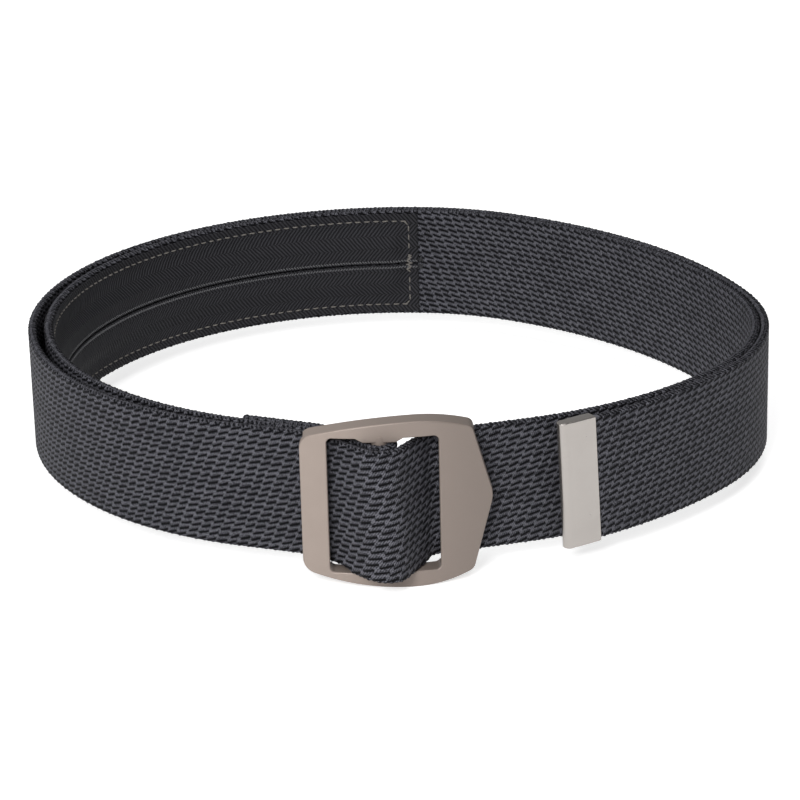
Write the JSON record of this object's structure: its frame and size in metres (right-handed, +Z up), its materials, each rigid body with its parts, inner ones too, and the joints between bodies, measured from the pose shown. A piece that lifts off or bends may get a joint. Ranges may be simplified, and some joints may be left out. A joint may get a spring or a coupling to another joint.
{
  "type": "money belt",
  "caption": "Webbing belt closed in two turns, with a curved plate buckle, a folded metal strap tip and a zipped cash pocket along its inside.",
  "frame": {"origin": "middle of the closed belt in plan, at the height of the buckle's lower rim, on which it stands", "axes": "+Z up across the strap's width, -Y towards the front of the buckle, +X from the loop's zip half to its bare half"},
  "size_m": [0.231, 0.2372, 0.0506],
  "materials": {
    "webbing": "ribbed woven",
    "buckle_metal": "satin",
    "nickel": "polished nickel plate",
    "zip_tape": "herringbone woven",
    "zip_coil": "satin",
    "slider_metal": "semi-gloss",
    "panel_thread": "twisted thread",
    "dark_thread": "twisted thread"
  },
  "bodies": {
    "strap": {"strap_webbing": "webbing", "strap_tip": "nickel", "zip_tape_upper": "zip_tape", "zip_tape_lower": "zip_tape", "zip_coil_upper": "zip_coil", "zip_coil_lower": "zip_coil", "panel_thread": "panel_thread", "fold_thread": "dark_thread"},
    "buckle": {"buckle_frame": "buckle_metal"},
    "slider": {"zip_slider": "slider_metal"},
    "pull": {"zip_pull": "slider_metal"}
  },
  "joints": [
    {"name": "buckle_tilt", "type": "hinge", "parent": "strap", "child": "buckle", "pos_m": [-0.00647, -0.11065, 0.0253], "axis": [0, 0, 1], "range_deg": [-5, 5]},
    {"name": "zip_travel", "type": "hinge", "parent": "strap", "child": "slider", "pos_m": [-0.00507, 0.00825, 0.0253], "axis": [0, 0, 1], "range_deg": [-144, 0]},
    {"name": "pull_swing", "type": "hinge", "parent": "slider", "child": "pull", "pos_m": [-0.06182, -0.07451, 0.0253], "axis": [0, 0, 1], "range_deg": [-164, 0]}
  ]
}
